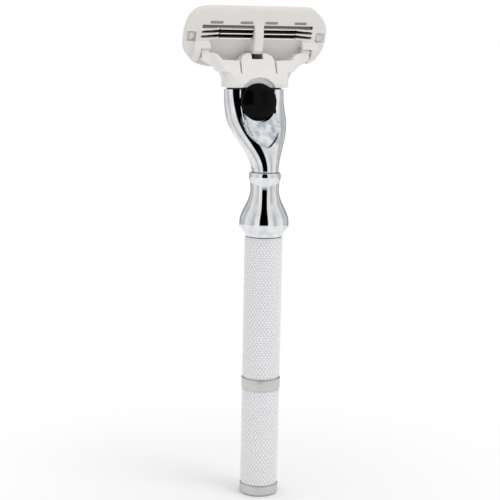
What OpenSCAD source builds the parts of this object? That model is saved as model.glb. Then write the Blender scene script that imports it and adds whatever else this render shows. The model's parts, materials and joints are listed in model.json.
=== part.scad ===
// Cartridge razor: three-blade pivoting head on a plated, knurled metal handle.
// +Z runs up the handle, -Y is the back with the release button, +Y is the side the blades face.

/* [Handle] */
// Radius of the end cap, on which the razor stands
cap_r = 5.4; // [5.36:0.01:5.45]
// Height of the end cap
cap_h = 2.9; // [2.6:0.1:3.2]
// Radius over the crests of the knurled grips
grip_r = 5.3; // [5.1:0.05:5.35]
// Height where the lower grip ends and the middle ring starts
ring_z = 30.4; // [28:0.1:32]
// Height of the middle ring
ring_h = 3.3; // [3:0.1:4]
// Radius of the middle ring
ring_r = 5.4; // [5.35:0.01:5.45]
// Height where the collar starts
collar_z = 73.7; // [72:0.1:74]
// Radius of the rod that clamps the handle together
rod_r = 2; // [1.5:0.1:2.2]

/* [Neck] */
// Height where the neck leaves the collar
neck_z0 = 91.2; // [91:0.1:91.4]
// Height of the neck's flat top rim
neck_z1 = 113.4; // [113.3:0.1:113.5]
// Half of the neck's width at its top
neck_w = 8.75; // [8.6:0.05:9]
// How far the bend carries the head forward
neck_reach = 9.4; // [9.3:0.1:9.5]
// Depth of the thumb hollow below the button
hollow_d = 0.8; // [0.4:0.1:1]

/* [Release button] */
// Radius of the button
button_r = 5.2; // [5:0.05:5.25]
// Height of the button's middle
button_z = 110; // [110:0.1:110.2]
// Travel of the button
button_travel = 1.3; // [1.1:0.1:1.4]

/* [Cartridge] */
// Width of the cartridge
head_w = 42.3; // [42:0.1:42.6]
// Height of the cartridge
head_h = 18; // [17.8:0.1:18.2]
// Height of the cartridge's middle, before it leans back
head_z = 127.55; // [127.5:0.05:127.6]
// Angle at which the cartridge leans back at rest
head_tilt = 20; // [18:1:21]
// Distance between neighbouring blades
blade_pitch = 1.325; // [1.3:0.005:1.33]
// Angle between a blade and the shaving plane
blade_tilt = 22; // [20:1:24]
// Width of the rib across the rinse window
strap_w = 2.65; // [2.4:0.05:2.7]
// Angle through which the cartridge pivots
pivot_range = 41; // [35:1:41]

/* [Hidden] */
$fn = 64;
eps = 0.01;

// handle stack
spigot_r = 3.6;
spigot_h = 3.6;
grip_top = collar_z - 0.2;
rod_z0 = 1.4;
rod_z1 = 81;
stud_r = 1.5;
stud_z0 = 83;
stud_z1 = 95.4;
seat_r = 3.5;
seat_z = 90.3;
ring_groove = 0.15;

// neck sections
neck_r0 = 3.65;
bend_z1 = 112;
flare_z1 = 106.3;
section_count = 40;
ring_count = 30;

// pocket of the latch insert, and what slides in it
insert_w = 9.2;
insert_y0 = 7;
insert_y1 = 11;
insert_z0 = 107;
flange_h = 0.5;
flange_z1 = neck_z1 + flange_h;
nose_z1 = 117;
nose_w = 10.8;
nose_y0 = 7.35;
nose_y1 = 11.4;
button_y0 = 3.7;
button_y2 = 6.2;
pocket_y = 6.4;
stem_w = 3.6;
bar_z0 = 107.6;
bar_h = 1.4;
prong_x0 = 2.6;
prong_x1 = 4.2;
carriage_y0 = 7.2;
carriage_y1 = 8.6;
slide_gap = 0.15;

// plunger and pivot; the cam is an involute, so the plunger's travel follows the angle exactly
pivot_y = 9.1;
pivot_z = 123.8;
cam_k = 1.2;
plunger_top = 123;
plunger_y = 9.9;
plunger_r = 1;
plunger_w = 1.8;
plunger_y0 = 7.7;
plunger_y1 = 10.4;
cam_gap = 0.05;
pin_r = 0.7;
pin_x0 = 15.9;
pin_x1 = 17.6;

// springs
button_spring_y = 7.8;
button_spring_z0 = bar_z0 + bar_h + 0.05;
button_spring_z1 = 113.3;
plunger_spring_z0 = 107.6;
plunger_spring_z1 = 111.9;

// yoke
yoke_z0 = flange_z1 + 0.05;
yoke_w = 9.25;
yoke_end = 15.9;
yoke_end_r = 1;
yoke_front = 10.2;
yoke_step_z = 118.9;
yoke_corner = 2.5;
cavity_x = 6.9;
cavity_z1 = 118.5;
notch_w = 3.35;
notch_z = 121.7;

// cartridge, drawn upright; it is then turned back about the pivot by head_tilt
head_r = head_h / 2;
head_back = 9.05;
head_front = 12.6;
trough_y = 10.85;
trough_x = 16.45;
trough_r = 5;
ear_x = 18.3;
ledge_x = 13.6;
ledge_z = pivot_z + yoke_end_r + 0.15;
window_z0 = 127.25;
window_z1 = 131.2;
window_x = 16.3;
chamber_x = 17.4;
chamber_y = 9.8;
strip_z0 = 131.5;
strip_z1 = 134.5;
strip_y = 11.8;
strip_x = 16.4;
fins_z0 = 120.7;
fins_z1 = 125.3;
slot_z = 132;
clip_x = 19;
clip_y = 10;
clip_z = 127.7;

// blades
leg_y0 = 9;
leg_y1 = 11.6;
support_t = 0.25;
blade_t = 0.1;
support_x = 17.1;
platform_l = 1.15;
blade_l = 1.5;
blade_z = [for (i = [0:2]) 127.55 + i * blade_pitch];

// Extrudes an outline drawn in X and Z from y0 to y1
module along_y(y0, y1) translate([0, y1, 0]) rotate([90, 0, 0]) linear_extrude(y1 - y0) children();
// Extrudes an outline drawn in Y and Z from x0 to x1
module along_x(x0, x1) translate([x0, 0, 0]) rotate([90, 0, 90]) linear_extrude(x1 - x0) children();
// Box from its lowest to its highest corner
module block(a, b) translate(a) cube(b - a);
// Box across X = 0, of half width x
module middle_block(x, y0, y1, z0, z1) block([-x, y0, z0], [x, y1, z1]);
// Both mirror images across X = 0
module both_sides() {
    children();
    mirror([1, 0, 0]) children();
}
// Upright cylinder between two heights
module post(r, z0, z1, y = 0) translate([0, y, z0]) cylinder(r = r, h = z1 - z0);

function bezier(p, t) = pow(1 - t, 3) * p[0] + 3 * pow(1 - t, 2) * t * p[1]
    + 3 * (1 - t) * t * t * p[2] + t * t * t * p[3];
function ease(t) = (1 - cos(180 * max(0, min(1, t)))) / 2;
// Turns a point of the Y-Z plane about the pivot, in degrees
function about_pivot(y, z, a) = [pivot_y + y * cos(a) - z * sin(a), pivot_z + y * sin(a) + z * cos(a)];
// Where a point of the leaning cartridge lies in its upright drawing
function upright(y, z) = about_pivot(y - pivot_y, z - pivot_z, -head_tilt);
// Leans the upright drawing of the cartridge back about the pivot
module leaning() translate([0, pivot_y, pivot_z]) rotate([head_tilt, 0, 0])
    translate([0, -pivot_y, -pivot_z]) children();

// ---- handle ----
module end_cap() color("silver") difference() {
    union() {
        rotate_extrude() polygon([[0, 0], [4.8, 0], [5.2, 0.15], [cap_r - 0.05, 0.45], [cap_r, 0.7],
            [cap_r, cap_h - 0.25], [cap_r - 0.2, cap_h], [0, cap_h]]);
        post(spigot_r, cap_h - eps, cap_h + spigot_h);
    }
    post(rod_r, rod_z0, cap_h + spigot_h + 1);
}

// Knurled tube between two heights, counterbored at each end for a neighbour's spigot
module grip_tube(z0, z1, low_bore, high_bore) difference() {
    post(grip_r, z0, z1);
    post(rod_r + 0.1, z0 - 1, z1 + 1);
    post(spigot_r + 0.02, z0 - 1, z0 + low_bore);
    post(spigot_r + 0.02, z1 - high_bore, z1 + 1);
}

module lower_grip() color("white") grip_tube(cap_h, ring_z, spigot_h + 0.1, 1.6);

module middle_ring() color("silver") difference() {
    union() {
        post(ring_r - 0.35, ring_z, ring_z + ring_h);
        post(ring_r, ring_z + ring_groove, ring_z + ring_h - ring_groove);
        post(spigot_r, ring_z - 1.5, ring_z + ring_h + 1.5);
    }
    post(rod_r + 0.1, ring_z - 2, ring_z + ring_h + 2);
}

module upper_grip() color("white") grip_tube(ring_z + ring_h, grip_top, 1.6, 1.6);

module tie_rod() color("darkgray") post(rod_r, rod_z0, rod_z1);

module collar_gasket() color("black") difference() {
    post(grip_r - 0.25, grip_top, collar_z);
    post(spigot_r + 0.02, grip_top - 1, collar_z + 1);
}

module collar() color("gainsboro") difference() {
    belly = [[6.65, collar_z + 2.35], [7.5, 80.3], [4, 82], [3.88, 86.7]];
    union() {
        rotate_extrude() polygon(concat(
            [[0, collar_z], [5.25, collar_z], [5.5, collar_z + 0.7], [6.35, collar_z + 1.85]],
            [for (i = [0:12]) bezier(belly, i / 12)],
            [[4, 88.5], [4.26, 89.4], [4.34, 90], [4.3, 90.7], [4.1, 91.1], [3.85, neck_z0], [0, neck_z0]]));
        post(spigot_r, grip_top - 1.5, collar_z + eps);
    }
    post(rod_r, grip_top - 2, rod_z1 + 0.2);
    post(stud_r, stud_z0 - 0.2, neck_z0 + 1);
    post(seat_r, seat_z, neck_z0 + 1);
}

// ---- neck ----
module neck_stud() color("darkgray") post(stud_r, stud_z0, stud_z1);

module neck_seal_ring() color("black") difference() {
    post(seat_r - 0.05, seat_z, seat_z + 0.4);
    post(stud_r + 0.05, seat_z - 1, seat_z + 1);
}

function neck_y(z) = neck_reach * ease((z - neck_z0) / (bend_z1 - neck_z0));
function neck_a(z) = neck_r0 + (neck_w - neck_r0) * ease((z - neck_z0) / (flare_z1 - neck_z0));
function neck_b(z) = neck_r0 + 0.1 + 0.5 * sin(180 * (z - neck_z0) / (neck_z1 - neck_z0));
// Half width of the thumb hollow: a drop with its point below
function hollow_w(z) = z < 97.6 ? 0 : z < 103.3 ? 4.8 * sin(90 * (z - 97.6) / 5.7) : 4.8;
function hollow(x, z) = hollow_d * ease((hollow_w(z) - abs(x)) / 0.7 + 0.5) * ease((z - 97.4) / 1.5);
function neck_point(a, z) = let (x = neck_a(z) * cos(a), y = neck_b(z) * sin(a))
    [x, neck_y(z) + y + (y < 0 ? hollow(x, z) : 0), z];

module neck_loft() {
    z0 = neck_z0 + 0.2;
    heights = [for (i = [0:ring_count - 1]) z0 + (neck_z1 + 0.6 - z0) * i / (ring_count - 1)];
    points = [for (z = heights, k = [0:section_count - 1]) neck_point(360 * k / section_count, z)];
    last = (ring_count - 1) * section_count;
    polyhedron(points, concat(
        [[for (k = [0:section_count - 1]) k]],
        [[for (k = [section_count - 1:-1:0]) last + k]],
        [for (i = [0:ring_count - 2], k = [0:section_count - 1]) let (j = (k + 1) % section_count,
            a = i * section_count) [a + k, a + section_count + k, a + section_count + j, a + j]]));
}

module neck() color("gainsboro") difference() {
    union() {
        neck_loft();
        post(seat_r - 0.05, seat_z + 0.4, neck_z0 + 0.3);
    }
    post(stud_r, seat_z, stud_z1 + 0.2);
    post(20, neck_z1, neck_z1 + 5);
    // pocket of the button, open at the top
    along_y(0, pocket_y) {
        translate([0, button_z]) circle(r = button_r + 0.15);
        translate([-button_r - 0.15, button_z]) square([2 * button_r + 0.3, 5]);
    }
    middle_block(insert_w / 2 + 0.03, insert_y0, insert_y1 + 0.03, insert_z0 - 0.03, neck_z1 + 1);
    middle_block(stem_w / 2 + 0.15, pocket_y - 1, insert_y0 + 1, bar_z0 - 0.2,
        bar_z0 + bar_h + button_travel + 0.2);
}

// ---- release mechanism ----
module latch_insert() color("#1c1c1c") difference() {
    union() {
        middle_block(insert_w / 2, insert_y0, insert_y1, insert_z0, neck_z1 + eps);
        difference() {
            translate([0, neck_reach, neck_z1]) scale([1, 0.42, 1]) cylinder(r = 8, h = flange_h);
            translate([0, pocket_y - 20, neck_z1 - 1]) translate([-8, 0, 0]) cube([16, 20, 3]);
        }
        middle_block(nose_w / 2, nose_y0, nose_y1, neck_z1, nose_z1);
        // latch arms, free at their upper ends
        both_sides() {
            block([nose_w / 2 + 0.5, 8.2, neck_z1], [nose_w / 2 + 1.1, 10.8, nose_z1 + 0.6]);
            block([nose_w / 2 + 0.5, 8.2, nose_z1 - 0.6], [nose_w / 2 + 1.35, 10.8, nose_z1 + 0.2]);
        }
    }
    // channel of the carriage's bar, of its prongs and of the button's spring
    middle_block(prong_x1 + slide_gap, insert_y0 - 1, carriage_y1 + slide_gap, bar_z0 - slide_gap,
        bar_z0 + bar_h + button_travel + slide_gap);
    both_sides() block([prong_x0 - slide_gap, insert_y0 - 1, bar_z0], [prong_x1 + slide_gap,
        carriage_y1 + slide_gap, nose_z1 + 1]);
    middle_block(0.7, insert_y0 - 1, 8.5, bar_z0, button_spring_z1);
    post(plunger_r + 0.05, 107.5, nose_z1 + 1, plunger_y);
}

module release_button() color("#101010") {
    intersection() {
        translate([0, button_y2, button_z]) rotate([90, 0, 0]) cylinder(r = button_r, h = 5);
        translate([0, button_y0 + 10.1, button_z]) sphere(r = 10.1, $fn = 96);
    }
    middle_block(stem_w / 2, button_y2 - eps, carriage_y0, bar_z0, bar_z0 + bar_h);
}

module button_carriage() color("#303030") {
    middle_block(prong_x1, carriage_y0, carriage_y1, bar_z0, bar_z0 + bar_h);
    both_sides() block([prong_x0, carriage_y0, bar_z0 + bar_h - eps],
        [prong_x1, carriage_y1, nose_z1 - 0.3]);
}

// Round wire wound up around an upright axis
module coil_spring(y, r, wire, z0, z1, turns) {
    steps = turns * 12;
    sides = 6;
    points = [for (i = [0:steps], k = [0:sides - 1]) let (a = 360 * turns * i / steps, w = 360 * k / sides,
        d = r + wire * cos(w)) [d * cos(a), y + d * sin(a), z0 + wire + (z1 - z0 - 2 * wire) * i / steps
        + wire * sin(w)]];
    last = steps * sides;
    polyhedron(points, concat(
        [[for (k = [0:sides - 1]) k]],
        [[for (k = [sides - 1:-1:0]) last + k]],
        [for (i = [0:steps - 1], k = [0:sides - 1]) let (j = (k + 1) % sides, a = i * sides)
            [a + k, a + sides + k, a + sides + j, a + j]]));
}

module button_spring() color("silver")
    coil_spring(button_spring_y, 0.42, 0.1, button_spring_z0, button_spring_z1, 6);

module plunger() color("#101010") {
    post(plunger_r, plunger_spring_z1, 119.2, plunger_y);
    post(0.5, 109.3, plunger_spring_z1 + eps, plunger_y);
    middle_block(plunger_w / 2, plunger_y0, plunger_y1, 119, plunger_top);
}

module plunger_spring() color("silver")
    coil_spring(plunger_y, 0.78, 0.13, plunger_spring_z0, plunger_spring_z1, 5);

// ---- yoke that joins the cartridge to the neck ----
// Right half of the yoke's outline seen from behind, from its foot to the middle of its top
yoke_half = [[yoke_w, yoke_z0], [yoke_w + 0.05, 115.2], [9.6, 116.3], [10.1, 117.4], [10.8, 118.4],
    [11.7, 119.2], [12.9, 119.9], [14.3, 120.6], [15.4, 121.2], [yoke_end, 121.8],
    [yoke_end, pivot_z + yoke_end_r],
    [13.8, pivot_z + yoke_end_r], [13.8, 123.5], [12.4, 123.3], [11.3, 122.8], [10.8, 122.1],
    [10.2, 121.5], [5.4, 121.3], [4.9, 121.6], [4.4, 122.5], [3, 123.3], [1.5, 123.5]];
module yoke_front_outline() polygon(concat(yoke_half,
    [for (i = [len(yoke_half) - 1:-1:0]) [-yoke_half[i][0], yoke_half[i][1]]]));

module yoke_side_outline() {
    polygon([[5.3, yoke_z0], [4.95, 115.2], [5, 116.6], [5.6, 118.2], [6.3, 120], [7, 121.8],
        [7.5, 123], [pivot_y - yoke_end_r, pivot_z], [pivot_y, pivot_z + 0.5], [yoke_front, pivot_z],
        [yoke_front, yoke_step_z], [11.6, yoke_step_z], [12.5, 117.6], [12.6, yoke_z0]]);
    translate([pivot_y, pivot_z]) circle(r = yoke_end_r);
}

// The arms run forward towards their ends
module yoke_plan_outline() polygon([[-17, 8.1], [-13.5, 8.1], [-11.5, 7], [-9.5, 5.4], [-6, 4.2],
    [6, 4.2], [9.5, 5.4], [11.5, 7], [13.5, 8.1], [17, 8.1], [17, 13], [-17, 13]]);

// What rounds off one upright corner of the yoke's body
module corner_cut(y, side) translate([0, 0, yoke_z0 - 1]) linear_extrude(118.2 - yoke_z0 + 1) difference() {
    translate([yoke_w - yoke_corner, side > 0 ? y : y - 4]) square(4);
    translate([yoke_w - yoke_corner, y]) circle(r = yoke_corner);
}

module yoke() color("whitesmoke") {
    difference() {
        intersection() {
            along_y(4, 13) yoke_front_outline();
            along_x(-17, 17) yoke_side_outline();
            translate([0, 0, 113]) linear_extrude(13) yoke_plan_outline();
        }
        both_sides() corner_cut(7.5, -1);
        both_sides() corner_cut(10.1, 1);
        // cavity that fits over the nose
        middle_block(cavity_x, 7.2, 11.6, yoke_z0 - 1, cavity_z1);
        // relief in which the button's top moves
        along_y(4, pocket_y) translate([0, button_z + button_travel]) circle(r = button_r + 0.25);
        // way of the plunger, and notch of the cartridge's cam
        middle_block(plunger_r + 0.05, plunger_y0 - 0.15, plunger_y + plunger_r + 0.1, 117, 125);
        middle_block(notch_w / 2, 4, 13, notch_z, 125);
        // slits beside the flexible tongue
        both_sides() along_y(4, 7.6) polygon([[4.85, 122], [5.5, 122], [5.3, 117.6], [5.1, 117.6]]);
    }
    both_sides() translate([pin_x0 - eps, pivot_y, pivot_z]) rotate([0, 90, 0])
        cylinder(r = pin_r, h = pin_x1 - pin_x0);
}

// ---- cartridge ----
module stadium() {
    half = head_w / 2 - head_r;
    translate([-half, head_z - head_r]) square([2 * half, head_h]);
    for (x = [-half, half]) translate([x, head_z]) circle(r = head_r, $fn = 96);
}

module head_side_outline() polygon([[head_front - 0.4, 119.5], [head_front, 120.3], [head_front, 134.9],
    [12.1, 135.5], [11.2, 136.1], [10.4, 136.5], [9.95, 136.55], [9.5, 136.35], [9.2, 135.7],
    [head_back + 0.05, 134.8], [head_back, 132.5], [head_back, 130.5], [9.15, 128], [9.4, 125.5],
    [9.7, 122], [9.85, 119.5], [10.1, 118.65], [10.6, 118.4], [11.6, 118.9]]);

module head_plan_outline() {
    x = head_w / 2;
    half = [[13, head_back], [16.3, 9.2], [19, 9.55], [20.5, 9.8], [x, 10.15], [x, 10.6],
        [x - 0.25, 11.1], [x - 0.95, 11.9], [19.2, head_front]];
    polygon(concat(half, [for (i = [len(half) - 1:-1:0]) [-half[i][0], half[i][1]]]));
}

// Rib across the window; its foot is the cam on the plunger
module strap() {
    cam = [for (i = [0:6]) let (a = pivot_range * i / 6, h = plunger_top + cam_gap - pivot_z
        - cam_k * a * PI / 180) about_pivot(-cam_k, h, -a - head_tilt)];
    along_x(-strap_w / 2, strap_w / 2) polygon(concat(
        [[head_back - 0.1, 132.3], [9.4, 132.3], [9.4, 126.9], [11.1, 126.9], upright(11.3, 123.6),
            upright(pivot_y, 123.2)],
        cam, [upright(6.5, 124), [6.9, 125.5], [7.2, 127.5], [8.1, 130], [8.6, 131.4]]));
}

// Ledge over one arm of the yoke, and the ear that takes its pin
module ear() {
    along_x(ledge_x, ear_x) polygon([[9.6, 127.1], [9, 126.6], [7.7, 125.3], [7.55, ledge_z],
        [11, ledge_z], [11, 127.1]]);
    along_x(trough_x, ear_x) polygon([[7.7, 125.3], [7.55, ledge_z], [7.5, 124], [7.75, 122.8],
        [8.5, 121.6], [9.8, 120.6], [11, 120.6], [11, 125.3]]);
}

// Three springy fingers on one side, behind the blade supports' ends
module fingers() for (z = blade_z) along_y(9, 9.42)
    polygon([[window_x + 0.5, z - 0.75], [window_x + 0.5, z - 0.05], [11.3, z + 0.2], [11.3, z - 0.25]]);

module strip_slots(w, h) for (x = [-12.3, -3.65, 3.65, 12.3]) translate([x, slot_z]) {
    square([w - h, h], center = true);
    for (s = [-1, 1]) translate([s * (w - h) / 2, 0]) circle(d = h, $fn = 24);
}

module clip_cut() {
    block([clip_x - 1.33, 4, clip_z - 1.38], [clip_x + 1.33, clip_y + 0.4, clip_z + 1.38]);
    block([clip_x - 1, clip_y - 0.1, 126.6], [clip_x + 0.5, 14, 127]);
    block([clip_x - 1, clip_y + 0.6, 131.4], [clip_x + 0.5, 14, 131.8]);
}

// Hollow on the back in which the yoke's arms lie
module trough() {
    middle_block(trough_x, 4, trough_y, 117, 124);
    intersection() {
        along_x(-trough_x, trough_x) translate([trough_y - trough_r, 124]) circle(r = trough_r, $fn = 96);
        middle_block(20, 4, 13, 120, window_z0);
    }
}

module cartridge_housing() color("#dedad5") leaning() difference() {
    union() {
        difference() {
            intersection() {
                along_y(5, 13) stadium();
                along_x(-22, 22) head_side_outline();
                translate([0, 0, 118]) linear_extrude(20) head_plan_outline();
            }
            // rinse window, and the chamber that the blades stand in
            middle_block(window_x, 4, chamber_y + 0.1, window_z0 - 0.1, window_z1);
            middle_block(chamber_x, chamber_y, 14, window_z0, window_z1);
            along_x(-chamber_x, chamber_x) polygon([[9.9, window_z0 + eps], [11.15, 126.75], [11.15, 126],
                [14, 126], [14, window_z0 + eps]]);
            trough();
        }
        strap();
        both_sides() ear();
        both_sides() fingers();
    }
    middle_block(strip_x, strip_y, 14, strip_z0, strip_z1);
    along_y(5, strip_y + eps) strip_slots(3.8, 0.75);
    middle_block(strip_x, strip_y, 14, fins_z0, fins_z1);
    both_sides() clip_cut();
    both_sides() translate([16, pivot_y, pivot_z]) rotate([0, 90, 0]) cylinder(r = pin_r + 0.05, h = 1.8);
}

module guard_fins() color("#4f5a60") leaning() {
    middle_block(strip_x, strip_y, head_front, fins_z0, fins_z1);
    for (i = [0:5]) translate([0, 0, fins_z0 + 0.35 + i * 0.78])
        along_x(-strip_x + 0.4, strip_x - 0.4) polygon([[head_front - 0.1, -0.18], [head_front + 0.3, 0],
            [head_front + 0.3, 0.12], [head_front - 0.1, 0.28]]);
}

module lubricating_strip() color("#9c948b") leaning() {
    middle_block(strip_x, strip_y, head_front + 0.25, strip_z0, strip_z1);
    along_y(head_back + 0.3, strip_y + eps) strip_slots(3.7, 0.65);
}

module clip() color("silver") leaning() {
    block([clip_x - 2, head_front, 126.6], [clip_x + 0.5, head_front + 0.3, 131.8]);
    block([clip_x - 1, clip_y, 126.6], [clip_x + 0.5, head_front + eps, 127]);
    block([clip_x - 1, clip_y + 0.7, 131.4], [clip_x + 0.5, head_front + eps, 131.8]);
    block([clip_x - 1, clip_y, 126.6], [clip_x + 0.5, clip_y + 0.4, 128.8]);
}
module clip_right() clip();
module clip_left() mirror([1, 0, 0]) clip();

// ---- blades ----
// Places its child, drawn in Y and Z from the support's bend, at one blade's bend
module at_blade(i) leaning() translate([0, leg_y1, blade_z[i]]) children();

// Right half of a support's leg; it is cut back behind the rib, over the fingers and at its end
leg_half = [[1.6, 9.75], [1.6, leg_y0], [11, leg_y0], [11.3, 9.75], [16.1, 9.75], [16.1, 10.2],
    [support_x, 10.2], [support_x, leg_y1]];
module leg_outline() polygon(concat(leg_half,
    [for (i = [len(leg_half) - 1:-1:0]) [-leg_half[i][0], leg_half[i][1]]]));

module blade_support(i) color("lightgray") {
    leaning() translate([0, 0, blade_z[i] - support_t / 2]) linear_extrude(support_t) leg_outline();
    at_blade(i) along_x(-support_x, support_x) {
        translate([0, support_t / 2]) rotate(-90 + blade_tilt) square([platform_l, support_t]);
        circle(d = support_t, $fn = 24);
    }
}
module blade(i) color("gray") at_blade(i) along_x(-support_x, support_x)
    translate([0, support_t / 2]) rotate(-90 + blade_tilt) translate([0.15, support_t])
    polygon([[0, 0], [blade_l - 0.25, 0], [blade_l, blade_t / 2], [blade_l - 0.25, blade_t], [0, blade_t]]);

module blade_1() blade(0);
module blade_2() blade(1);
module blade_3() blade(2);
module blade_support_1() blade_support(0);
module blade_support_2() blade_support(1);
module blade_support_3() blade_support(2);

end_cap();
lower_grip();
middle_ring();
upper_grip();
tie_rod();
collar_gasket();
collar();
neck_stud();
neck_seal_ring();
neck();
latch_insert();
release_button();
button_carriage();
button_spring();
plunger();
plunger_spring();
yoke();
cartridge_housing();
guard_fins();
lubricating_strip();
clip_left();
clip_right();
blade_1();
blade_2();
blade_3();
blade_support_1();
blade_support_2();
blade_support_3();
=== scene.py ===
import bpy
import bmesh
import json
import math
import numpy as np
from mathutils import Matrix, Vector


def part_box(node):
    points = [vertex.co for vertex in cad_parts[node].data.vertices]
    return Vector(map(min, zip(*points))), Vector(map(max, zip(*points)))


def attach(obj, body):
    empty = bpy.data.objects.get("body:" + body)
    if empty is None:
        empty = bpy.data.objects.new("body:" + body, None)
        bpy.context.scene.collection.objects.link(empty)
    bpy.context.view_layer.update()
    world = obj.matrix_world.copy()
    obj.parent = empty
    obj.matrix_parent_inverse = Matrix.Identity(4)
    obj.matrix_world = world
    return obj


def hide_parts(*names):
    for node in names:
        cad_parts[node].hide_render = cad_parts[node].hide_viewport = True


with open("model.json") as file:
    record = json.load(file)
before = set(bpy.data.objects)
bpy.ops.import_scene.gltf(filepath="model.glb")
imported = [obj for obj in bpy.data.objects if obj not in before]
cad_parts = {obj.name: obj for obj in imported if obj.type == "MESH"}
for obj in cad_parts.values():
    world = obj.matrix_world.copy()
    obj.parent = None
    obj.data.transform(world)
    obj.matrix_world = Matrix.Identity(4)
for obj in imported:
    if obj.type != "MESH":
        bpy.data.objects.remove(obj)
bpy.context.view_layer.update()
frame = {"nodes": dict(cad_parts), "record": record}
mm = 0.001


# ---- shader maths ----
class Wire:
    # a socket that can be used in a sum; every operator adds one Math node
    def __init__(self, graph, socket):
        self.graph = graph
        self.socket = socket

    def maths(self, operation, *others):
        values = dict(enumerate((self,) + others))
        return self.graph.add("ShaderNodeMath", {"operation": operation}, values)

    def __add__(self, other):
        return self.maths("ADD", other)

    def __sub__(self, other):
        return self.maths("SUBTRACT", other)

    def __mul__(self, other):
        return self.maths("MULTIPLY", other)

    def __truediv__(self, other):
        return self.maths("DIVIDE", other)

    def __rsub__(self, other):
        return self.graph.add("ShaderNodeMath", {"operation": "SUBTRACT"}, {0: other, 1: self})

    __radd__ = __add__
    __rmul__ = __mul__


class Graph:
    # one material's or the world's node tree
    def __init__(self, owner):
        owner.use_nodes = True
        self.tree = owner.node_tree
        self.tree.nodes.clear()

    def add(self, kind, settings=None, values=None, output=0):
        node = self.tree.nodes.new(kind)
        for key, value in (settings or {}).items():
            if key == "stops":
                while len(node.color_ramp.elements) < len(value):
                    node.color_ramp.elements.new(1.0)
                for element, (place, colour) in zip(node.color_ramp.elements, value):
                    element.position = place
                    element.color = (*colour, 1.0)
            else:
                setattr(node, key, value)
        for key, value in (values or {}).items():
            if isinstance(value, Wire):
                self.tree.links.new(value.socket, node.inputs[key])
            else:
                node.inputs[key].default_value = value
        return Wire(self, node.outputs[output])

    def place(self):
        # the piece's own coordinates in millimetres
        spot = self.add("ShaderNodeTexCoord", output=3)
        return self.add("ShaderNodeVectorMath", {"operation": "SCALE"}, {0: spot, 3: 1000.0})

    def axes(self, vector):
        split = self.tree.nodes.new("ShaderNodeSeparateXYZ")
        self.tree.links.new(vector.socket, split.inputs[0])
        return [Wire(self, s) for s in split.outputs]

    def stretched(self, vector, scale):
        return self.add("ShaderNodeVectorMath", {"operation": "MULTIPLY"}, {0: vector, 1: scale})

    def noise(self, vector, scale, detail=3.0, roughness=0.55):
        return self.add("ShaderNodeTexNoise", {}, {"Vector": vector, "Scale": scale, "Detail": detail,
                                                  "Roughness": roughness})

    def steps(self, value, low, high):
        return self.add("ShaderNodeMapRange", {"interpolation_type": "SMOOTHSTEP"},
                        {0: value, 1: low, 2: high, 3: 0.0, 4: 1.0})

    def mixed(self, factor, first, second):
        return self.add("ShaderNodeMix", {"data_type": "RGBA"}, {0: factor, 6: first, 7: second}, output=2)

    def bump(self, height, distance, strength=1.0):
        return self.add("ShaderNodeBump", {}, {"Height": height, "Distance": distance * mm,
                                               "Strength": strength})


def rgb(*levels):
    return (*levels, 1.0)


def finish(graph, **sockets):
    # closes a material: constants and links go straight to the shader's own sockets
    names = {"colour": "Base Color", "roughness": "Roughness", "metallic": "Metallic", "normal": "Normal",
             "coat": "Coat Weight", "coatRoughness": "Coat Roughness", "level": "Specular IOR Level",
             "anisotropy": "Anisotropic", "subsurface": "Subsurface Weight", "scatter": "Subsurface Scale"}
    shader = graph.add("ShaderNodeBsdfPrincipled", {}, {names[k]: v for k, v in sockets.items()})
    target = graph.tree.nodes.new("ShaderNodeOutputMaterial")
    graph.tree.links.new(shader.socket, target.inputs[0])


def material(name, build):
    made = bpy.data.materials.new(name)
    build(Graph(made))
    return made


# ---- finishes ----
gripLook = {"valley": 5.08, "crest": 5.3}


def whiteCoat(g):
    at = g.place()
    x, y, z = g.axes(at)
    height = g.steps((x * x + y * y).maths("SQRT"), gripLook["valley"], gripLook["crest"])
    cloud = g.noise(at, 0.35, 2.0)
    grain = g.noise(at, 9.0, 4.0)
    coat = g.mixed(cloud, rgb(0.88, 0.88, 0.895), rgb(0.93, 0.93, 0.935))
    # painted shade: the colour darkens from the crests down into the knurl's valleys
    dustAndValleyShade = g.mixed(height, rgb(0.72, 0.72, 0.735), coat)
    rub = g.steps(height * grain, 0.5, 0.9)
    finish(g, colour=g.mixed(rub * 0.35, dustAndValleyShade, rgb(0.96, 0.96, 0.96)), roughness=grain * 0.15 + 0.34,
           coat=0.25, coatRoughness=0.3, normal=g.bump(grain, 0.02, 0.5))


def turnedSteel(base):
    def build(g):
        at = g.place()
        x, y, z = g.axes(at)
        lines = g.noise(g.stretched(at, (0.05, 0.05, 14.0)), 1.0, 4.0, 0.7)
        cloud = g.noise(at, 0.6, 3.0)
        marks = g.steps(g.noise(g.stretched(at, (1.5, 1.5, 0.3)), 2.0, 4.0), 0.62, 0.8)
        tint = g.mixed(lines * 0.5 + cloud * 0.5, rgb(*[c * 0.86 for c in base]), rgb(*base))
        finish(g, colour=g.mixed(marks * 0.3, tint, rgb(*[c * 0.7 for c in base])), metallic=1.0,
               roughness=lines * 0.16 + cloud * 0.08 + 0.24, anisotropy=0.4, normal=g.bump(lines, 0.006, 0.6))
    return build


# the painted reflection's heights and half width in the hollow, and the slope and start of the neck's middle
# line beside it
hollowReflection = {"low": 97.5, "high": 106.0, "half": 4.6, "fade": 2.0, "side": 1.4, "inner": -2.0, "outer": -0.8,
              "slope": 0.66, "start": 62.4}


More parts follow.
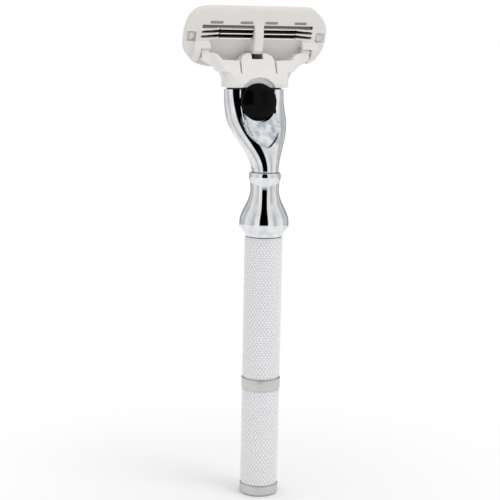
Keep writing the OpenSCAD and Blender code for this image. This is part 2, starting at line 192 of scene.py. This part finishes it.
def chromePlate(g):
    # mirror plating with a faint film; the grey-blue clouds in the thumb hollow are a painted reflection,
    # standing in for what it mirrors
    at = g.place()
    x, y, z = g.axes(at)
    smear = g.noise(g.stretched(at, (1.0, 1.0, 0.45)), 0.35, 4.0, 0.6)
    speck = g.steps(g.noise(at, 7.0, 2.0), 0.70, 0.78)
    ripple = g.noise(at, 0.22, 1.0)
    smudge = g.steps(smear, 0.52, 0.72)
    cloud = g.noise(g.stretched(at, (1.0, 1.0, 0.8)), 0.42, 3.0, 0.6)
    plate = g.mixed(g.steps(cloud, 0.28, 0.72), rgb(0.66, 0.69, 0.73), rgb(0.84, 0.84, 0.84))
    ahead = y - z * hollowReflection["slope"] + hollowReflection["start"]
    behind = 1 - g.steps(ahead, hollowReflection["inner"], hollowReflection["outer"])
    above = g.steps(z, hollowReflection["low"], hollowReflection["low"] + hollowReflection["fade"])
    below = 1 - g.steps(z, hollowReflection["high"], hollowReflection["high"] + hollowReflection["fade"])
    between = 1 - g.steps(x.maths("ABSOLUTE"), hollowReflection["half"] - hollowReflection["side"], hollowReflection["half"])
    inHollow = behind * above * below * between
    # painted reflection: grey-blue clouds mixed into the colour inside the hollow
    billow = g.noise(g.stretched(at, (1.0, 1.0, 0.6)), 0.42, 2.0, 0.5)
    paintedReflection = g.mixed(g.steps(billow, 0.34, 0.66), rgb(0.36, 0.40, 0.46), rgb(0.86, 0.87, 0.88))
    film = g.mixed(smudge * 0.6, plate, rgb(0.74, 0.75, 0.76))
    finish(g, colour=g.mixed(inHollow * 0.85, film, paintedReflection), metallic=1.0,
           roughness=smudge * 0.04 + speck * 0.08 + 0.02, normal=g.bump(ripple, 0.05, 0.25))


def blackGloss(g):
    at = g.place()
    dustAndValleyShade = g.steps(g.noise(at, 11.0, 3.0), 0.66, 0.76)
    hair = g.steps(g.noise(g.stretched(at, (0.5, 1.0, 6.0)), 2.2, 4.0), 0.60, 0.70)
    finish(g, colour=g.mixed(dustAndValleyShade, rgb(0.0015, 0.0015, 0.002), rgb(0.012, 0.012, 0.012)),
           roughness=dustAndValleyShade * 0.2 + hair * 0.08 + 0.10, level=0.07, normal=g.bump(hair, 0.004, 0.3))


def moulded(light, shade, rough, grainHeight, gloss):
    def build(g):
        at = g.place()
        cloud = g.noise(at, 0.25, 3.0)
        grain = g.noise(at, 12.0, 4.0, 0.65)
        flow = g.noise(g.stretched(at, (0.15, 0.6, 0.6)), 1.0, 2.0)
        scuff = g.steps(g.noise(g.stretched(at, (4.0, 1.0, 0.7)), 0.9, 5.0), 0.64, 0.78)
        tone = g.mixed(cloud * 0.6 + flow * 0.4, rgb(*shade), rgb(*light))
        finish(g, colour=g.mixed(scuff * 0.25, tone, rgb(*[c * 0.85 for c in shade])),
               roughness=grain * 0.12 + scuff * 0.1 + rough, subsurface=0.06, scatter=0.0006, level=gloss,
               normal=g.bump(grain, grainHeight, 0.6))
    return build


def blackMoulding(g):
    at = g.place()
    grain = g.noise(at, 14.0, 4.0, 0.65)
    wear = g.steps(g.noise(at, 1.4, 3.0), 0.55, 0.8)
    finish(g, colour=g.mixed(wear, rgb(0.012, 0.012, 0.013), rgb(0.035, 0.035, 0.036)),
           roughness=grain * 0.2 + 0.38, normal=g.bump(grain, 0.01, 0.6))


def softRubber(light, dark):
    def build(g):
        at = g.place()
        grain = g.noise(at, 16.0, 4.0, 0.7)
        bloom = g.noise(at, 0.8, 3.0)
        finish(g, colour=g.mixed(bloom, rgb(*dark), rgb(*light)), roughness=grain * 0.2 + 0.55,
               normal=g.bump(grain, 0.012, 0.7))
    return build


def rolledSteel(base, rough):
    def build(g):
        at = g.place()
        grain = g.noise(g.stretched(at, (0.25, 9.0, 9.0)), 1.0, 5.0, 0.7)
        cloud = g.noise(at, 0.5, 2.0)
        finish(g, colour=g.mixed(grain, rgb(*[c * 0.88 for c in base]), rgb(*base)), metallic=1.0,
               roughness=grain * 0.12 + cloud * 0.06 + rough, normal=g.bump(grain, 0.004, 0.5))
    return build


bladeLook = {"lean": math.radians(20.0), "ground": 0.25, "edge": 0.06, "bright": 0.75, "fade": 0.5}


def outward(g, node):
    # how far a point lies along the way that the blades float, from the node's own back and front
    y, z = g.axes(g.place())[1:]
    c, s = math.cos(bladeLook["lean"]), math.sin(bladeLook["lean"])
    spread = [(v.co.y * c + v.co.z * s) / mm for v in frame["nodes"][node].data.vertices]
    return y * c + z * s, min(spread), max(spread)


def groundBlade(g):
    # the edge is ground bright, the rest is left as rolled
    way, back, front = outward(g, "blade_2")
    edge = g.steps(way, front - bladeLook["ground"], front - bladeLook["ground"] + bladeLook["edge"])
    grain = g.noise(g.stretched(g.place(), (0.4, 14.0, 14.0)), 1.0, 5.0, 0.7)
    finish(g, colour=g.mixed(edge, rgb(0.52, 0.54, 0.57), rgb(0.86, 0.87, 0.89)), metallic=1.0,
           roughness=grain * 0.12 + (1.0 - edge) * 0.12 + 0.10, normal=g.bump(grain, 0.003, 0.5))


def supportSteel(g):
    # bright legs; the dark tint over their far part is painted, in place of the shade and dark mirrored there
    at = g.place()
    way, back, front = outward(g, "blade_support_2")
    deep = g.steps(way, back + bladeLook["bright"], back + bladeLook["bright"] + bladeLook["fade"])
    grain = g.noise(g.stretched(at, (0.25, 9.0, 9.0)), 1.0, 5.0, 0.7)
    steel = g.mixed(grain, rgb(0.86, 0.86, 0.85), rgb(0.96, 0.96, 0.95))
    finish(g, colour=g.mixed(deep, steel, rgb(0.10, 0.085, 0.07)), metallic=1.0,
           roughness=grain * 0.12 + 0.16, normal=g.bump(grain, 0.004, 0.5))


def stripPolymer(g):
    at = g.place()
    fleck = g.noise(at, 5.0, 4.0, 0.7)
    pit = g.steps(g.noise(at, 9.0, 2.0), 0.60, 0.75)
    cloud = g.noise(at, 0.3, 2.0)
    tone = g.mixed(fleck * 0.5 + cloud * 0.5, rgb(0.24, 0.21, 0.185), rgb(0.40, 0.37, 0.335))
    finish(g, colour=g.mixed(pit * 0.6, tone, rgb(0.17, 0.15, 0.135)), roughness=fleck * 0.2 + 0.35,
           subsurface=0.1, scatter=0.0008, normal=g.bump(fleck - pit * 0.5, 0.03, 0.6))


looks = {
    "cap_steel": material("satinSteel", turnedSteel((0.66, 0.66, 0.665))),
    "grip_white": material("whiteCoat", whiteCoat),
    "ring_steel": material("warmSatinSteel", turnedSteel((0.66, 0.65, 0.63))),
    "rod_steel": material("platedRod", turnedSteel((0.52, 0.52, 0.53))),
    "seal_black": material("sealRubber", softRubber((0.03, 0.03, 0.03), (0.012, 0.012, 0.012))),
    "chrome": material("chromePlate", chromePlate),
    "insert_black": material("blackMoulding", blackMoulding),
    "button_black": material("blackGloss", blackGloss),
    "spring_steel": material("springWire", rolledSteel((0.7, 0.7, 0.72), 0.14)),
    "yoke_white": material("whiteMoulding", moulded(
        (0.79, 0.775, 0.76), (0.74, 0.73, 0.715), 0.24, 0.006, 0.5)),
    "housing_grey": material("greyMoulding", moulded(
        (0.76, 0.735, 0.71), (0.71, 0.685, 0.66), 0.36, 0.010, 0.4)),
    "fins_rubber": material("finRubber", softRubber((0.20, 0.25, 0.29), (0.12, 0.16, 0.19))),
    "strip_polymer": material("stripPolymer", stripPolymer),
    "clip_aluminium": material("clipAluminium", rolledSteel((0.66, 0.65, 0.635), 0.3)),
    "blade_steel": material("groundBlade", groundBlade),
    "support_steel": material("supportSteel", supportSteel),
}
slotOf = {row["node"]: row["material_slot"] for row in frame["record"]["subparts"]}
bodyOf = {node: body for body, group in frame["record"]["behaviour"]["bodies"].items() for node in group}
for node, shape in frame["nodes"].items():
    shape.data.materials.clear()
    shape.data.materials.append(looks[slotOf[node]])
print("finishes made:", len(looks))


# ---- mesh helpers ----
def linked(name, mesh):
    piece = bpy.data.objects.new(name, mesh)
    bpy.context.scene.collection.objects.link(piece)
    return piece


def fromPoints(name, points, faces):
    # points are in millimetres
    mesh = bpy.data.meshes.new(name)
    mesh.from_pydata([tuple(c * mm for c in p) for p in points], [], faces)
    return linked(name, mesh)


def settle(piece, node, smooth=30.0):
    # a finished piece stands for one CAD node, on its body and in its finish
    shape = bmesh.new()
    shape.from_mesh(piece.data)
    bmesh.ops.remove_doubles(shape, verts=shape.verts, dist=0.0005 * mm)
    bmesh.ops.recalc_face_normals(shape, faces=shape.faces)
    shape.to_mesh(piece.data)
    shape.free()
    piece.data.shade_smooth()
    piece.data.set_sharp_from_angle(angle=math.radians(smooth))
    piece.data.materials.clear()
    piece.data.materials.append(looks[slotOf[node]])
    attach(piece, bodyOf[node])
    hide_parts(node)
    return piece


def baked(piece):
    # the evaluated shape as a plain mesh, with no modifier left
    graph = bpy.context.evaluated_depsgraph_get()
    mesh = bpy.data.meshes.new_from_object(piece.evaluated_get(graph))
    piece.modifiers.clear()
    piece.data = mesh
    return piece


def rounded(corners, count=5):
    # corners are (a, b, radius); a corner with a radius becomes an arc
    outline = []
    total = len(corners)
    for i, (a, b, radius) in enumerate(corners):
        here = Vector((a, b))
        if radius <= 0:
            outline.append(here)
            continue
        before = Vector(corners[i - 1][:2]) - here
        after = Vector(corners[(i + 1) % total][:2]) - here
        half = before.angle(after) / 2
        reach = min(radius / math.tan(half), before.length * 0.49, after.length * 0.49)
        middle = here + (before.normalized() + after.normalized()).normalized() * reach / math.cos(half)
        first = here + before.normalized() * reach - middle
        last = here + after.normalized() * reach - middle
        sweep = first.angle_signed(last)
        for k in range(count + 1):
            turn = Matrix.Rotation(-sweep * k / count, 2)
            outline.append(middle + turn @ first)
    return [tuple(p) for p in outline]


def lathe(name, outline, segments=128):
    # turns a closed outline of (radius, height) about Z
    points, rings, faces = [], [], []
    for radius, height in outline:
        if radius < 1e-6:
            rings.append([len(points)] * segments)
            points.append((0, 0, height))
            continue
        rings.append(range(len(points), len(points) + segments))
        for k in range(segments):
            turn = 2 * math.pi * k / segments
            points.append((radius * math.cos(turn), radius * math.sin(turn), height))
    for i, ring in enumerate(rings):
        other = rings[(i + 1) % len(rings)]
        for k in range(segments):
            j = (k + 1) % segments
            face = list(dict.fromkeys([ring[k], ring[j], other[j], other[k]]))
            if len(face) > 2:
                faces.append(face)
    return fromPoints(name, points, faces)


def cadCopy(name, node):
    mesh = frame["nodes"][node].data.copy()
    mesh.name = name
    shape = bmesh.new()
    shape.from_mesh(mesh)
    bmesh.ops.remove_doubles(shape, verts=shape.verts, dist=0.001 * mm)
    bmesh.ops.dissolve_limit(shape, angle_limit=math.radians(1.0), verts=shape.verts, edges=shape.edges)
    shape.to_mesh(mesh)
    shape.free()
    return linked(name, mesh)


def softened(name, node, voxel, passes):
    # a moulded part: the CAD shape with every edge and inner corner rounded off
    piece = cadCopy(name, node)
    skin = piece.modifiers.new("skin", "REMESH")
    skin.mode = "VOXEL"
    skin.voxel_size = voxel * mm
    calm = piece.modifiers.new("calm", "SMOOTH")
    calm.factor = 0.5
    calm.iterations = passes
    return settle(baked(piece), node, smooth=60.0)


def eased(name, node, width, segments=2):
    # a small hard part: the CAD shape with its edges broken
    piece = cadCopy(name, node)
    edge = piece.modifiers.new("edge", "BEVEL")
    edge.width = width * mm
    edge.segments = segments
    edge.limit_method = "ANGLE"
    edge.angle_limit = math.radians(35)
    return settle(baked(piece), node, smooth=40.0)


def boxOf(node):
    # a CAD node's corners in millimetres
    low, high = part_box(node)
    return low * 1000, high * 1000


# ---- handle ----
capHigh = boxOf("end_cap")[1]
gripLow, gripHigh = boxOf("lower_grip")
ringLow, ringHigh = boxOf("middle_ring")
upperLow, upperHigh = boxOf("upper_grip")
collarLow, collarHigh = boxOf("collar")
rodLow, rodHigh = boxOf("tie_rod")

capShape = {"foot": 0.75, "rim": 0.18, "spigot": 3.6, "bore": 2.0}
cap = lathe("endCap", rounded([
    (0, 0, 0), (capHigh.x, 0, capShape["foot"]), (capHigh.x, gripLow.z, capShape["rim"]),
    (capShape["spigot"], gripLow.z, 0), (capShape["spigot"], capHigh.z, 0.2),
    (capShape["bore"], capHigh.z, 0), (capShape["bore"], rodLow.z, 0), (0, rodLow.z, 0)]))
settle(cap, "end_cap")

ringShape = {"groove": 0.16, "depth": 0.32, "edge": 0.08, "spigot": 3.6, "bore": 2.1}
r, neckIn = ringHigh.x, ringHigh.x - ringShape["depth"]
z0, z1 = gripHigh.z, upperLow.z
ring = lathe("middleRing", rounded([
    (ringShape["bore"], ringLow.z, 0), (ringShape["spigot"], ringLow.z, 0), (ringShape["spigot"], z0, 0),
    (neckIn, z0, 0), (neckIn, z0 + ringShape["groove"], 0), (r, z0 + ringShape["groove"], ringShape["edge"]),
    (r, z1 - ringShape["groove"], ringShape["edge"]), (neckIn, z1 - ringShape["groove"], 0), (neckIn, z1, 0),
    (ringShape["spigot"], z1, 0), (ringShape["spigot"], ringHigh.z, 0), (ringShape["bore"], ringHigh.z, 0)]))
settle(ring, "middle_ring")


def bezier(corners, count):
    a, b, c, d = [Vector(p) for p in corners]
    for i in range(count + 1):
        t = i / count
        yield tuple(a * (1 - t) ** 3 + b * 3 * t * (1 - t) ** 2 + c * 3 * t * t * (1 - t) + d * t ** 3)


# radii and heights of the collar: foot, crease, waist, lip, and the seat and holes inside it
collarShape = {"gap": 0.2, "foot": 5.25, "crease": 6.65, "creaseRise": 2.35, "waist": 3.88, "waistTop": 86.7,
               "lip": 4.34, "lipTop": 90.0, "mouth": 4.08, "seat": 3.55, "seatLow": 90.35, "spigot": 3.6,
               "bore": 2.0, "studBore": 1.5, "studLow": 82.8, "steps": 40, "around": 192}
# corners as radius, height and rounding: the cup's are above the foot, the others in the razor's own heights
cupCorners = [(5.42, 0.75, 0.6), (6.42, 1.95, 0.5)]
neckCorners = [(3.98, 88.4, 2.0), (4.24, 89.3, 0.6)]
lipCorners = [(4.3, 90.75, 0.3)]
# radius and height of the two points that pull the belly's curve
bellyPulls = [(7.48, 80.3), (4.0, 82.0)]
lowZ = upperHigh.z + collarShape["gap"]
crease = (collarShape["crease"], lowZ + collarShape["creaseRise"])
waist = (collarShape["waist"], collarShape["waistTop"])
foot = rounded([(0, lowZ, 0), (collarShape["foot"], lowZ, 0.12)]
               + [(out, lowZ + up, soft) for out, up, soft in cupCorners] + [(*crease, 0)])[1:]
belly = list(bezier([crease, *bellyPulls, waist], collarShape["steps"]))
lip = rounded([(*waist, 0), *neckCorners, (collarShape["lip"], collarShape["lipTop"], 0.5), *lipCorners,
               (collarShape["mouth"], collarHigh.z, 0.25), (collarShape["seat"], collarHigh.z, 0.12),
               (collarShape["seat"], collarShape["seatLow"], 0)])
collar = lathe("collarPlated", foot + belly[1:] + lip[1:] + [
    (collarShape["studBore"], collarShape["seatLow"]), (collarShape["studBore"], collarShape["studLow"]),
    (0, collarShape["studLow"]), (0, rodHigh.z + collarShape["gap"]),
    (collarShape["bore"], rodHigh.z + collarShape["gap"]), (collarShape["bore"], collarLow.z),
    (collarShape["spigot"], collarLow.z), (collarShape["spigot"], lowZ)], collarShape["around"])
settle(collar, "collar", smooth=22.0)
print("turned parts made")


# ---- knurled grips ----
def knurlTree():
    # instances of one diamond in staggered rows about Z, on a turned core
    tree = bpy.data.node_groups.new("knurl", "GeometryNodeTree")
    for name, kind, flow in (
            ("Core", "NodeSocketGeometry", "INPUT"), ("Diamond", "NodeSocketObject", "INPUT"),
            ("Columns", "NodeSocketInt", "INPUT"), ("Rows", "NodeSocketInt", "INPUT"),
            ("Row height", "NodeSocketFloat", "INPUT"), ("Start", "NodeSocketFloat", "INPUT"),
            ("Finish", "NodeSocketMaterial", "INPUT"), ("Shape", "NodeSocketGeometry", "OUTPUT")):
        tree.interface.new_socket(name, in_out=flow, socket_type=kind)
    def node(kind, settings=None, values=None):
        made = tree.nodes.new(kind)
        for key, value in (settings or {}).items():
            setattr(made, key, value)
        for key, value in (values or {}).items():
            if isinstance(value, bpy.types.NodeSocket):
                tree.links.new(value, made.inputs[key])
            else:
                made.inputs[key].default_value = value
        return made
    def maths(operation, a, b=0.0):
        return node("ShaderNodeMath", {"operation": operation}, {0: a, 1: b}).outputs[0]
    given = node("NodeGroupInput").outputs
    total = maths("MULTIPLY", given["Columns"], given["Rows"])
    index = node("GeometryNodeInputIndex").outputs[0]
    row = maths("FLOOR", maths("DIVIDE", index, given["Columns"]))
    column = maths("MODULO", index, given["Columns"])
    stagger = maths("MULTIPLY", maths("MODULO", row, 2.0), 0.5)
    turn = maths("MULTIPLY", maths("DIVIDE", maths("ADD", column, stagger), given["Columns"]), 2 * math.pi)
    rise = maths("ADD", maths("MULTIPLY", row, given["Row height"]), given["Start"])
    place = node("ShaderNodeCombineXYZ", values={2: rise}).outputs[0]
    swing = node("ShaderNodeCombineXYZ", values={2: turn}).outputs[0]
    points = node("GeometryNodePoints", values={"Count": total, "Position": place}).outputs[0]
    diamond = node("GeometryNodeObjectInfo", values={"Object": given["Diamond"]}).outputs["Geometry"]
    spread = node("GeometryNodeInstanceOnPoints", values={"Points": points, "Instance": diamond,
                                                          "Rotation": swing}).outputs[0]
    whole = node("GeometryNodeRealizeInstances", values={0: spread}).outputs[0]
    both = node("GeometryNodeJoinGeometry")
    tree.links.new(given["Core"], both.inputs[0])
    tree.links.new(whole, both.inputs[0])
    done = node("GeometryNodeSetMaterial", values={"Geometry": both.outputs[0], "Material": given["Finish"]})
    tree.links.new(done.outputs[0], node("NodeGroupOutput").inputs[0])
    return tree


def setInputs(modifier, values):
    for item in modifier.node_group.interface.items_tree:
        if item.item_type == "SOCKET" and item.in_out == "INPUT" and item.name in values:
            modifier[item.identifier] = values[item.name]


knurl = {"columns": 33, "rowHeight": 0.70, "depth": 0.22, "groove": 0.10, "flat": 0.42, "bore": 2.1,
         "counterbore": 3.62, "chamfer": 0.18}


def diamondShape():
    # one knurl diamond at angle 0, sunk a little into the core
    deep = gripHigh.x - knurl["depth"] - 0.05
    halfTurn = math.pi / knurl["columns"] * (1 - knurl["groove"])
    halfRise = knurl["rowHeight"] * (1 - knurl["groove"])
    points = []
    for radius, share in ((deep, 1.0), (gripHigh.x, knurl["flat"])):
        for turn, rise in ((-1, 0), (0, -1), (1, 0), (0, 1)):
            angle = turn * halfTurn * share
            points.append((radius * math.cos(angle), radius * math.sin(angle), rise * halfRise * share))
    shape = fromPoints("diamond", points, [(3, 2, 1, 0), (4, 5, 6, 7)] + [
        (k, (k + 1) % 4, 4 + (k + 1) % 4, 4 + k) for k in range(4)])
    return shape


knurlNodes = knurlTree()
diamond = diamondShape()


def grip(name, node, lowBore, highBore):
    low, high = boxOf(node)
    deep = high.x - knurl["depth"]
    wide = knurl["counterbore"]
    core = lathe(name, rounded([
        (knurl["bore"], low.z + lowBore, 0), (wide, low.z + lowBore, 0), (wide, low.z, 0),
        (deep, low.z, knurl["chamfer"]), (deep, high.z, knurl["chamfer"]), (wide, high.z, 0),
        (wide, high.z - highBore, 0), (knurl["bore"], high.z - highBore, 0)], 3), 132)
    rows = int((high.z - low.z - 0.1) / knurl["rowHeight"]) - 1
    start = (low.z + high.z) / 2 - (rows - 1) * knurl["rowHeight"] / 2
    pattern = core.modifiers.new("knurl", "NODES")
    pattern.node_group = knurlNodes
    setInputs(pattern, {"Diamond": diamond, "Columns": knurl["columns"], "Rows": rows,
                        "Row height": knurl["rowHeight"] * mm, "Start": start * mm,
                        "Finish": looks["grip_white"]})
    return settle(baked(core), node, smooth=25.0)


grip("lowerGrip", "lower_grip", 3.7, 1.6)
grip("upperGrip", "upper_grip", 1.6, 1.6)
bpy.data.objects.remove(diamond)
print("grips knurled")


# ---- neck ----
neckHigh = boxOf("neck")[1]
bend = {"base": 3.65, "width": 8.75, "reach": 9.4, "start": 91.2, "bendEnd": 112.0, "flareEnd": 106.3,
        "gap": 0.2, "hollow": 0.8, "hollowPoint": 97.6, "hollowTop": 103.3, "hollowWidth": 4.8, "lip": 0.8,
        "hollowFoot": 1.5, "lead": 0.2, "belly": 0.5, "deeper": 0.1, "around": 224, "rows": 170}
buttonLow, buttonHigh = boxOf("release_button")
buttonShape = {"radius": buttonHigh.x, "middle": (buttonLow.z + buttonHigh.z) / 2, "crest": buttonLow.y,
               "edge": 5.0, "back": 6.2, "round": 0.3, "facet": 3.2, "facetSlope": 0.35,
               "rings": 40, "around": 96}


def easeIn(t):
    return (1 - np.cos(np.pi * np.clip(t, 0, 1))) / 2


def neckSurface(turn, z):
    width = bend["base"] + (bend["width"] - bend["base"]) * easeIn(
        (z - bend["start"]) / (bend["flareEnd"] - bend["start"]))
    rise = (z - bend["start"]) / (neckHigh.z - bend["start"])
    deep = bend["base"] + bend["deeper"] + bend["belly"] * np.sin(np.pi * rise)
    forward = bend["reach"] * easeIn((z - bend["start"]) / (bend["bendEnd"] - bend["start"]))
    x = width * np.cos(turn)
    y = deep * np.sin(turn)
    reach = np.clip((z - bend["hollowPoint"]) / (bend["hollowTop"] - bend["hollowPoint"]), 0, 1)
    half = bend["hollowWidth"] * np.sin(np.pi / 2 * reach)
    across = easeIn((half - abs(x)) / bend["lip"] + 0.5)
    along = easeIn((z - bend["hollowPoint"] + bend["lead"]) / bend["hollowFoot"])
    dip = bend["hollow"] * across * along
    return x, forward + y + np.where(y < 0, dip, 0), z


def neckBody():
    around, rows = bend["around"], bend["rows"]
    heights = np.linspace(bend["start"] + bend["gap"], neckHigh.z, rows)
    turns = np.linspace(0, 2 * math.pi, around, endpoint=False)
    grid = np.stack(np.broadcast_arrays(*neckSurface(turns[None, :], heights[:, None])), -1)
    faces = [(i * around + k, i * around + (k + 1) % around, (i + 1) * around + (k + 1) % around,
              (i + 1) * around + k) for i in range(rows - 1) for k in range(around)]
    faces.append(tuple(range(around - 1, -1, -1)))
    faces.append(tuple((rows - 1) * around + k for k in range(around)))
    return fromPoints("neckPlated", grid.reshape(-1, 3).tolist(), faces)


def cutter(name, outline, y0, y1):
    # a prism along Y over an outline in X and Z
    count = len(outline)
    points = [(x, y, z) for y in (y0, y1) for x, z in outline]
    faces = [tuple(range(count)), tuple(range(2 * count - 1, count - 1, -1))]
    faces += [(k, k + count, (k + 1) % count + count, (k + 1) % count) for k in range(count)]
    shape = fromPoints(name, points, faces)
    tidy = bmesh.new()
    tidy.from_mesh(shape.data)
    bmesh.ops.recalc_face_normals(tidy, faces=tidy.faces)
    tidy.to_mesh(shape.data)
    tidy.free()
    return shape


def cut(piece, shapes):
    for shape in shapes:
        saw = piece.modifiers.new("cut", "BOOLEAN")
        saw.operation = "DIFFERENCE"
        saw.solver = "EXACT"
        saw.object = shape
    baked(piece)
    for shape in shapes:
        bpy.data.objects.remove(shape)
    return piece


def slab(name, half, low, high, y0, y1):
    return cutter(name, [(-half, low), (half, low), (half, high), (-half, high)], y0, y1)


neck = neckBody()
# half widths, heights and depths of the button's pocket, the insert's socket and the stem's way
hollows = {"gap": 0.15, "steps": 65, "pocketBack": 6.4, "past": 2.0, "socketHalf": 4.63, "socketLow": 107.0,
           "socketDepth": (7.0, 11.03), "stemHalf": 1.95, "stemRise": (107.4, 110.8), "stemDepth": (5.4, 8.0)}
wide = buttonShape["radius"] + hollows["gap"]
openTop = neckHigh.z + hollows["past"]
arch = [(wide * math.cos(t), buttonShape["middle"] - wide * math.sin(t))
        for t in np.linspace(0, math.pi, hollows["steps"])]
pocket = cutter("pocket", arch + [(-wide, openTop), (wide, openTop)], -hollows["past"], hollows["pocketBack"])
socket = slab("socket", hollows["socketHalf"], hollows["socketLow"], openTop, *hollows["socketDepth"])
stem = slab("stem", hollows["stemHalf"], *hollows["stemRise"], *hollows["stemDepth"])
cut(neck, [pocket, socket, stem])
settle(neck, "neck", smooth=28.0)
print("neck made:", len(neck.data.polygons), "faces")


# ---- release button ----
def button():
    rings, around = buttonShape["rings"], buttonShape["around"]
    radius, middle = buttonShape["radius"], buttonShape["middle"]
    depth = buttonShape["edge"] - buttonShape["crest"]
    sphere = (radius * radius + depth * depth) / (2 * depth)
    points = [(0, buttonShape["crest"], middle)]
    for i in range(1, rings + 1):
        r = radius * i / rings
        for k in range(around):
            turn = 2 * math.pi * k / around
            x, z = r * math.cos(turn), r * math.sin(turn)
            y = buttonShape["crest"] + sphere - math.sqrt(sphere * sphere - r * r)
            y += buttonShape["facetSlope"] * max(0.0, z - buttonShape["facet"])
            rim = max(0.0, r - radius + buttonShape["round"]) / buttonShape["round"]
            points.append((x, y + buttonShape["round"] * (1 - math.sqrt(1 - rim * rim)), middle + z))
    for k in range(around):
        turn = 2 * math.pi * k / around
        points.append((radius * math.cos(turn), buttonShape["back"], middle + radius * math.sin(turn)))
    faces = [(0, 1 + k, 1 + (k + 1) % around) for k in range(around)]
    for i in range(rings):
        a, b = 1 + i * around, 1 + (i + 1) * around
        faces += [(a + k, b + k, b + (k + 1) % around, a + (k + 1) % around) for k in range(around)]
    last = 1 + rings * around
    faces.append(tuple(last + k for k in range(around)))
    return fromPoints("releaseButton", points, faces)


settle(button(), "release_button", smooth=40.0)
print("button made")

# ---- moulded head ----
softened("yokeMoulding", "yoke", voxel=0.13, passes=3)
softened("cartridgeHousing", "cartridge_housing", voxel=0.17, passes=2)
eased("lubricatingStrip", "lubricating_strip", width=0.12)
eased("clipLeft", "clip_left", width=0.1)
eased("clipRight", "clip_right", width=0.1)
eased("plungerRod", "plunger", width=0.12)
print("head made")

# ---- camera, light and floor ----
view = {"lens": 100.0, "azimuth": -22.0, "elevation": 9.59, "distance": 0.385, "aim": 0.068,
        "left": 0.0037, "up": 0.00145, "roll": 1.1}
a, e = math.radians(view["azimuth"]), math.radians(view["elevation"])
back = Vector((math.sin(a) * math.cos(e), -math.cos(a) * math.cos(e), math.sin(e)))
right = Vector((math.cos(a), math.sin(a), 0))
up = back.cross(right)
seat = Vector((0, 0, view["aim"])) + back * view["distance"]
look = Vector((0, 0, view["aim"])) - right * view["left"] + up * view["up"] - seat
lens = bpy.data.cameras.new("camera")
lens.lens = view["lens"]
lens.clip_start = 0.01
lens.clip_end = 20
eye = linked("camera", lens)
tip = Matrix.Rotation(math.radians(view["roll"]), 4, "Z")
eye.matrix_world = Matrix.Translation(seat) @ look.to_track_quat("-Z", "Y").to_matrix().to_4x4() @ tip
bpy.context.scene.camera = eye

studio = {"dark": 0.0, "darkHalf": 20.0, "soft": 0.88, "panels": (
    (0.10, 1.0), (0.22, 0.95), (0.30, 0.60), (0.36, 0.80), (0.52, 1.0), (0.62, 0.55), (0.70, 0.72),
    (0.80, 0.45), (0.90, 0.22), (1.0, 0.34))}


def lightTent():
    # what polished metal sees: grey and white panels all round, a tall dark opening at the front
    world = bpy.data.worlds.new("tent")
    bpy.context.scene.world = world
    g = Graph(world)
    x, y, z = g.axes(g.add("ShaderNodeTexCoord", output=0))
    flat = (x * x + y * y + 1e-6).maths("SQRT")
    facing = ((x * math.sin(a) - y * math.cos(a)) / flat).maths("MINIMUM", 1.0).maths("MAXIMUM", -1.0)
    angle = facing.maths("ARCCOSINE") * (180 / math.pi)
    high = g.steps(z, 0.50, 0.72)
    top = g.steps(z, 0.78, 0.92)
    low = g.steps(z, -0.25, -0.10)
    dark = (1 - g.steps(angle, studio["darkHalf"] - 2, studio["darkHalf"] + 3)) * (1 - top) * low
    stops = [(place, (grey, grey, grey)) for place, grey in studio["panels"]]
    panels = g.add("ShaderNodeValToRGB", {"stops": stops}, {0: angle / 180})
    level = panels * (1 - high) + high * 0.9
    glow = level * (1 - dark) + dark * studio["dark"]
    path = g.tree.nodes.new("ShaderNodeLightPath")
    glossy = Wire(g, path.outputs["Is Glossy Ray"])
    camera = Wire(g, path.outputs["Is Camera Ray"])
    strength = camera + (1 - camera) * (glossy * glow + (1 - glossy) * studio["soft"])
    sky = g.tree.nodes.new("ShaderNodeBackground")
    sky.inputs[0].default_value = (1, 1, 1, 1)
    g.tree.links.new(strength.socket, sky.inputs[1])
    target = g.tree.nodes.new("ShaderNodeOutputWorld")
    g.tree.links.new(sky.outputs[0], target.inputs[0])


lightTent()
bpy.context.scene.view_settings.view_transform = "Standard"


def softbox(name, place, aim, size, power):
    lamp = bpy.data.lights.new(name, "AREA")
    lamp.shape = "DISK"
    lamp.size = size
    lamp.energy = power
    stand = linked(name, lamp)
    stand.visible_glossy = False
    turned = (aim - place).to_track_quat("-Z", "Y").to_matrix().to_4x4()
    stand.matrix_world = Matrix.Translation(place) @ turned


middle = Vector((0, 0, 0.08))
softbox("topBox", Vector((0.25, -0.35, 0.75)), middle, 0.35, 1.2)

floorLook = {"radius": 0.4, "sides": 96, "fadeStart": 0.0, "fadeEnd": 0.11}
floorMesh = bpy.data.meshes.new("floor")
floorTurns = np.linspace(0, 2 * math.pi, floorLook["sides"], endpoint=False)
floorEdge = [(floorLook["radius"] * math.cos(t), floorLook["radius"] * math.sin(t), 0) for t in floorTurns]
floorMesh.from_pydata(floorEdge, [], [tuple(range(floorLook["sides"]))])
floor = linked("floor", floorMesh)


def paleFloor(g):
    # pale paper near the razor, which fades into the white of the tent
    at = g.add("ShaderNodeTexCoord", output=3)
    x, y, z = g.axes(at)
    cloud = g.noise(at, 3.0, 3.0)
    paper = g.add("ShaderNodeBsdfPrincipled", {}, {
        "Base Color": g.mixed(cloud, rgb(0.93, 0.93, 0.93), rgb(0.96, 0.96, 0.96)),
        "Roughness": cloud * 0.1 + 0.6})
    white = g.add("ShaderNodeEmission", {}, {"Color": rgb(1, 1, 1), "Strength": 1.0})
    far = g.steps((x * x + y * y).maths("SQRT"), floorLook["fadeStart"], floorLook["fadeEnd"])
    both = g.add("ShaderNodeMixShader", {}, {0: far, 1: paper, 2: white})
    target = g.tree.nodes.new("ShaderNodeOutputMaterial")
    g.tree.links.new(both.socket, target.inputs[0])


floorMesh.materials.append(material("paleFloor", paleFloor))
print("stage set")
